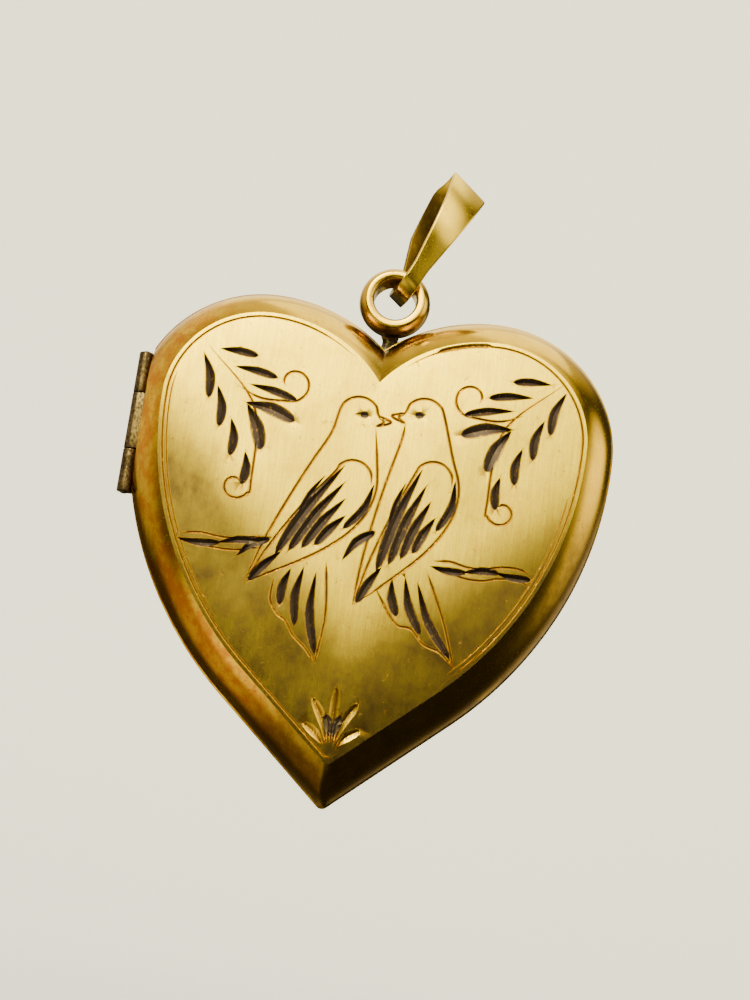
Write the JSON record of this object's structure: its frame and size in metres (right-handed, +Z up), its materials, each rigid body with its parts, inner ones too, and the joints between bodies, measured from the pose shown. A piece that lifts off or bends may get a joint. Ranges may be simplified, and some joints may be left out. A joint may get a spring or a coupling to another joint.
{
  "type": "heart locket",
  "caption": "Hinged heart-shaped locket with domed covers, an engraved front, inner photo frames, a fixed ring and a folded bail.",
  "frame": {"origin": "centre of the chain's seat inside the bail, below its top fold", "axes": "+Z up along the heart's axis with the locket hanging, +X to the right seen from the front, +Y from the engraved front to the back"},
  "size_m": [0.0281, 0.0044, 0.0387],
  "materials": {
    "gold_satin": "satin brushed gold-filled, engraved",
    "gold_polished": "polished gold-filled with wear",
    "gold_inner": "bright gold wash",
    "hinge_metal": "grey, lightly tarnished",
    "solder": "dark tarnished solder",
    "clear_window": "clear plastic sheet",
    "card": "matt off-white card"
  },
  "bodies": {
    "bail": {"bail": "gold_polished"},
    "case": {"back_cover": "gold_polished", "back_rim": "gold_inner", "back_photo_frame": "gold_inner", "back_photo_window": "clear_window", "back_backing_card": "card", "hinge_knuckle_bottom": "hinge_metal", "hinge_knuckle_top": "hinge_metal", "hinge_pin": "hinge_metal", "suspension_ring": "gold_polished", "ring_foot": "solder"},
    "front": {"front_cover": "gold_satin", "front_photo_frame": "gold_inner", "front_photo_window": "clear_window", "front_backing_card": "card", "hinge_knuckle_middle": "hinge_metal"}
  },
  "joints": [
    {"name": "case_swing", "type": "hinge", "parent": "bail", "child": "case", "pos_m": [-0.00285, 0, -0.00639], "axis": [0, 1, 0], "range_deg": [-40, 85]},
    {"name": "cover_hinge", "type": "hinge", "parent": "case", "child": "front", "pos_m": [-0.01682, 0, -0.01564], "axis": [0, 0, -1], "range_deg": [0, 175]}
  ]
}
